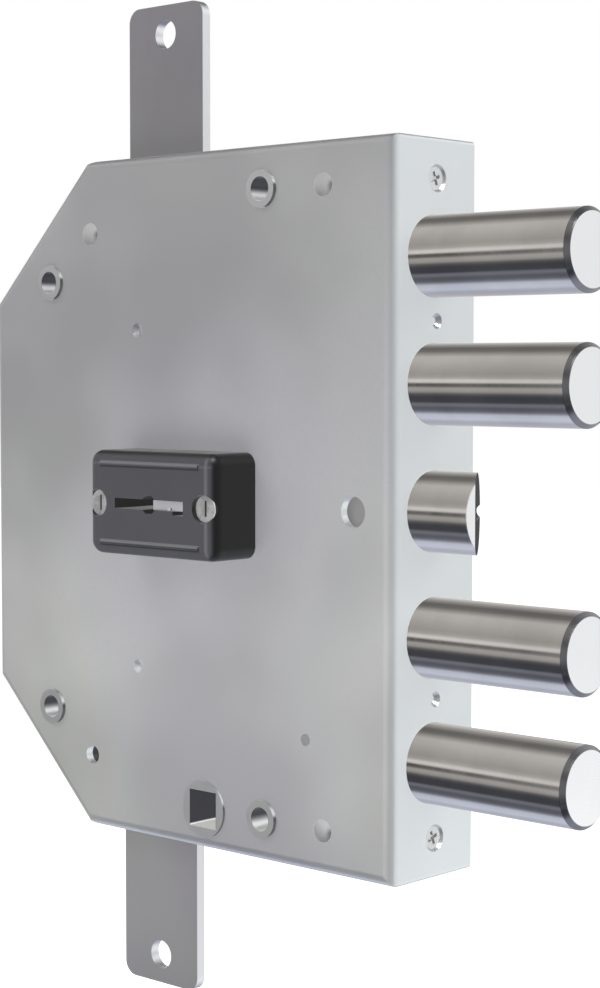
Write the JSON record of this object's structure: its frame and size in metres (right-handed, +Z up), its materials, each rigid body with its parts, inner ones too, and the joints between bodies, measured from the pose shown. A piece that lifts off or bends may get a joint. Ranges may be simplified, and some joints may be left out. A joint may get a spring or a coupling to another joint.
{
  "type": "rim lock",
  "caption": "Surface-mounted door lock with round sliding bolts, a bevelled latch, vertical locking rods and a raised keyhole block.",
  "frame": {"origin": "where the key's axis meets the back face of the case, the face that lies on the door", "axes": "+X is the way the bolts are thrown, +Z is up along the front face, and the cover seen in the room faces -Y, so +Y points into the door"},
  "size_m": [0.1754, 0.0421, 0.239],
  "materials": {
    "case_steel": "satin galvanised sheet",
    "zinc": "zinc plated",
    "plain_steel": "plain rolled steel",
    "dark_block": "semi-gloss black",
    "spring_brass": "bright rolled",
    "nickel": "polished nickel plate",
    "rod_steel": "zinc plated strip",
    "lever_brass": "satin rolled"
  },
  "bodies": {
    "case": {"case_shell": "case_steel", "back_plate": "case_steel", "back_plate_screws": "zinc", "case_posts": "zinc", "fixing_bushes": "zinc", "bolt_guide_plate": "plain_steel", "front_screws": "zinc", "key_block": "dark_block", "key_block_screws": "zinc", "guard_plate": "plain_steel", "rotor_ring": "plain_steel", "carriage_guide_posts": "zinc", "lever_guide_pins": "zinc", "lever_spring_comb": "spring_brass", "latch_spring_rod": "zinc", "latch_lever_stud": "zinc", "latch_spring": "zinc"},
    "carriage": {"carriage_plate": "plain_steel", "lever_stump": "plain_steel", "bolt_1": "nickel", "bolt_2": "nickel", "bolt_3": "nickel", "bolt_4": "nickel", "bolt_cross_pins": "plain_steel"},
    "upper_locking_rod": {"upper_rod": "rod_steel", "upper_rod_pin": "plain_steel"},
    "lower_locking_rod": {"lower_rod": "rod_steel", "lower_rod_pin": "plain_steel"},
    "latch": {"latch_bolt": "nickel", "latch_drive_pin": "plain_steel"},
    "latch_arm": {"latch_lever": "plain_steel"},
    "follower": {"handle_follower": "zinc"},
    "rotor": {"key_rotor": "zinc"},
    "lever_1_body": {"lever_1": "lever_brass"},
    "lever_2_body": {"lever_2": "lever_brass"},
    "lever_3_body": {"lever_3": "lever_brass"},
    "lever_4_body": {"lever_4": "lever_brass"},
    "lever_5_body": {"lever_5": "lever_brass"}
  },
  "joints": [
    {"name": "carriage_slide", "type": "slide", "parent": "case", "child": "carriage", "axis": [1, 0, 0], "range_m": [-0.041, 0]},
    {"name": "upper_rod_slide", "type": "slide", "parent": "case", "child": "upper_locking_rod", "axis": [0, 0, 1], "range_m": [-0.016, 0]},
    {"name": "lower_rod_slide", "type": "slide", "parent": "case", "child": "lower_locking_rod", "axis": [0, 0, 1], "range_m": [0, 0.016]},
    {"name": "rotor_turn", "type": "hinge", "parent": "case", "child": "rotor", "pos_m": [0, -0.021, 0], "axis": [0, 1, 0], "range_deg": [-1440, 0]},
    {"name": "latch_slide", "type": "slide", "parent": "case", "child": "latch", "axis": [1, 0, 0], "range_m": [-0.015, 0], "stiffness_N_per_m": 300, "springref_m": 0.02, "deforming": ["latch_spring"]},
    {"name": "latch_lever_turn", "type": "hinge", "parent": "case", "child": "latch_arm", "pos_m": [0.0365, -0.0248, -0.0521], "axis": [0, -1, 0], "range_deg": [0, 16.13]},
    {"name": "follower_turn", "type": "hinge", "parent": "case", "child": "follower", "pos_m": [0.0042, -0.014, -0.0724], "axis": [0, -1, 0], "range_deg": [-35, 0]},
    {"name": "lever_1_slide", "type": "slide", "parent": "case", "child": "lever_1_body", "axis": [0, 0, 1], "range_m": [-0.003, 0], "stiffness_N_per_m": 2000},
    {"name": "lever_2_slide", "type": "slide", "parent": "case", "child": "lever_2_body", "axis": [0, 0, 1], "range_m": [-0.003, 0], "stiffness_N_per_m": 2000},
    {"name": "lever_3_slide", "type": "slide", "parent": "case", "child": "lever_3_body", "axis": [0, 0, 1], "range_m": [-0.003, 0], "stiffness_N_per_m": 2000},
    {"name": "lever_4_slide", "type": "slide", "parent": "case", "child": "lever_4_body", "axis": [0, 0, 1], "range_m": [-0.003, 0], "stiffness_N_per_m": 2000},
    {"name": "lever_5_slide", "type": "slide", "parent": "case", "child": "lever_5_body", "axis": [0, 0, 1], "range_m": [-0.003, 0], "stiffness_N_per_m": 2000}
  ],
  "couplings": [
    {"joint": "upper_rod_slide", "follows": "carriage_slide", "ratio": 0.39024},
    {"joint": "lower_rod_slide", "follows": "carriage_slide", "ratio": -0.39024},
    {"joint": "rotor_turn", "follows": "carriage_slide", "rad_per_m": 612.98},
    {"joint": "latch_lever_turn", "follows": "latch_slide", "rad_per_m": -18.767},
    {"joint": "follower_turn", "follows": "latch_slide", "rad_per_m": 40.721}
  ]
}
